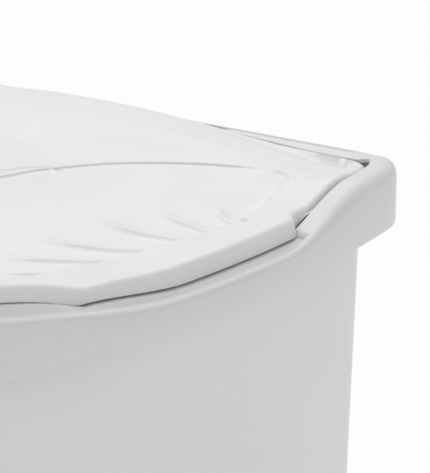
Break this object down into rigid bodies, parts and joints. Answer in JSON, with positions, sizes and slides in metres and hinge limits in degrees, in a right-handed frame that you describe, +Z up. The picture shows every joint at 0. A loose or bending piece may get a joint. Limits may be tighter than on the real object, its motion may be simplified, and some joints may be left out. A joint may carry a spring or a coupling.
{
  "type": "pedal trash can",
  "caption": "Plastic step-on bin with a D-shaped body, a wave-edged rim collar and a scooped, ribbed lid that a foot pedal lifts through a lever and a rod.",
  "frame": {"origin": "on the floor under the middle of the bin's bounding box", "axes": "+Z up, the front with the pedal faces -Y, the flat back faces +Y, +X to the right seen from the front"},
  "size_m": [0.41, 0.38, 0.5745],
  "materials": {
    "white_plastic": "fine satin moulded polypropylene",
    "pedal_plastic": "satin moulded plastic",
    "black_rubber": "matt rubber",
    "zinc_steel": "bright zinc plate",
    "grey_bush": "matt acetal"
  },
  "bodies": {
    "bin": {"body_shell": "white_plastic", "rim_collar": "white_plastic", "collar_screws": "zinc_steel", "hinge_pin_left": "zinc_steel", "hinge_pin_right": "zinc_steel", "rod_guide_lower": "grey_bush", "rod_guide_upper": "grey_bush", "rod_channel_cover": "white_plastic", "channel_screws": "zinc_steel", "pedal_pivot_pin": "zinc_steel", "pivot_bracket_left": "zinc_steel", "pivot_bracket_right": "zinc_steel", "bracket_screws": "zinc_steel", "pivot_pin_clips": "zinc_steel", "rubber_feet": "black_rubber"},
    "lid": {"lid_shell": "white_plastic", "lid_hinge_frame": "white_plastic", "lid_frame_screws": "zinc_steel", "lid_bumpers": "black_rubber"},
    "rod": {"lift_rod": "zinc_steel", "rod_end_caps": "grey_bush"},
    "pedal": {"pedal_lever": "zinc_steel", "pedal_pad": "pedal_plastic", "pedal_tread": "black_rubber"}
  },
  "joints": [
    {"name": "lid_hinge", "type": "hinge", "parent": "bin", "child": "lid", "pos_m": [0, 0.16, 0.544], "axis": [-1, 0, 0], "range_deg": [0, 72]},
    {"name": "rod_slide", "type": "slide", "parent": "bin", "child": "rod", "axis": [0, 0, 1], "range_m": [0, 0.032]},
    {"name": "pedal_hinge", "type": "hinge", "parent": "bin", "child": "pedal", "pos_m": [0, -0.008, 0.028], "axis": [1, 0, 0], "range_deg": [0, 12.5]}
  ],
  "couplings": [
    {"joint": "rod_slide", "follows": "lid_hinge", "m_per_rad": 0.025439},
    {"joint": "pedal_hinge", "follows": "lid_hinge", "ratio": 0.17355}
  ]
}
